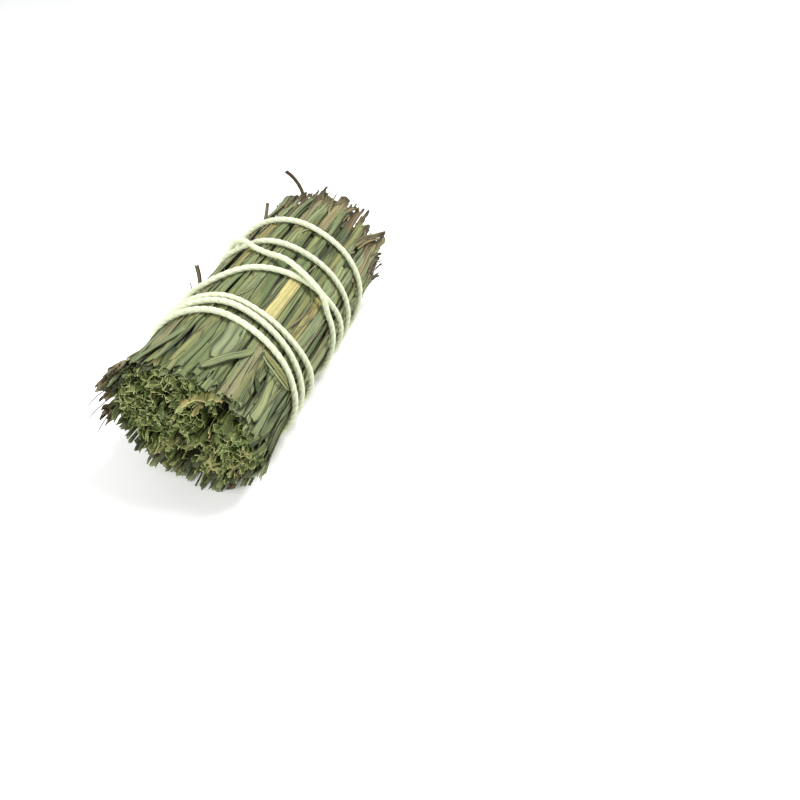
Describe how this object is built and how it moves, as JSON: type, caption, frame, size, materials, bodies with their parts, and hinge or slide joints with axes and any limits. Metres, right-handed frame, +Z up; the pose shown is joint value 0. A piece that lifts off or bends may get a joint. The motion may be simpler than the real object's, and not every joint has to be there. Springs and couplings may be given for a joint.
{
  "type": "lemongrass bundle",
  "caption": "Round bundle of dried lemongrass leaves lying on its side, wound with cotton twine.",
  "frame": {"origin": "on the surface that the bundle lies on, under the middle of the whole bundle", "axes": "+Z up, +Y along the bundle towards the brown leaf tips, -Y towards the trimmed leaf ends, +X to the right when the trimmed ends are looked at"},
  "size_m": [0.0604, 0.1288, 0.0576],
  "materials": {
    "green_leaf": "dried grass leaf, matt with a faint lengthwise sheen",
    "straw_leaf": "dried leaf gone yellow, satin",
    "tan_leaf": "dried leaf gone tan, matt",
    "brown_leaf": "withered brown leaf, matt",
    "cotton_twine": "soft twisted cotton with a slight fuzz"
  },
  "bodies": {
    "root": {"leaf_bunch": "green_leaf", "twine": "cotton_twine", "straw_leaf_1": "straw_leaf", "straw_leaf_2": "straw_leaf", "straw_leaf_3": "straw_leaf", "straw_leaf_4": "straw_leaf", "straw_leaf_5": "straw_leaf", "tan_leaf_1": "tan_leaf", "tan_leaf_2": "tan_leaf", "tan_leaf_3": "tan_leaf", "tan_leaf_4": "tan_leaf", "tan_leaf_5": "tan_leaf", "brown_leaf_1": "brown_leaf", "brown_leaf_2": "brown_leaf", "brown_leaf_3": "brown_leaf", "brown_leaf_4": "brown_leaf", "brown_leaf_5": "brown_leaf", "brown_leaf_6": "brown_leaf", "stray_leaf_1": "brown_leaf", "stray_leaf_2": "brown_leaf", "stray_leaf_3": "brown_leaf"}
  },
  "joints": []
}
